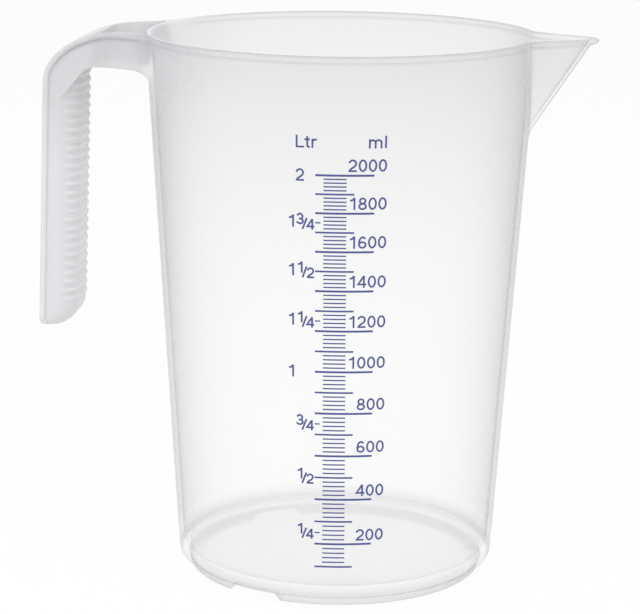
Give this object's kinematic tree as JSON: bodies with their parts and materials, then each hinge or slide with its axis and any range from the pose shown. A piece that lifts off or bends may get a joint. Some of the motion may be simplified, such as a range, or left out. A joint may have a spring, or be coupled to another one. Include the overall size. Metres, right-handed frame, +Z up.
{
  "type": "measuring jug",
  "caption": "Tapered translucent plastic measuring jug with a drawn-out pouring spout, an open ridged hook handle, a notched foot ring and a printed volume scale.",
  "frame": {"origin": "on the cup's axis, at the plane that the foot ring stands on", "axes": "+Z up along the cup's axis, +X towards the spout, -X towards the handle"},
  "size_m": [0.2096, 0.148, 0.2063],
  "materials": {
    "body": "translucent natural polypropylene, satin outside",
    "ink": "screen-printed blue ink"
  },
  "bodies": {
    "root": {"jug_wall": "body", "jug_floor": "body", "foot_ring": "body", "rim_bead": "body", "spout": "body", "handle_arm": "body", "handle_grip": "body", "grip_ridges": "body", "scale_200ml_lines": "ink", "scale_100ml_lines": "ink", "scale_20ml_lines": "ink", "scale_quarter_litre_ticks": "ink"}
  },
  "joints": []
}
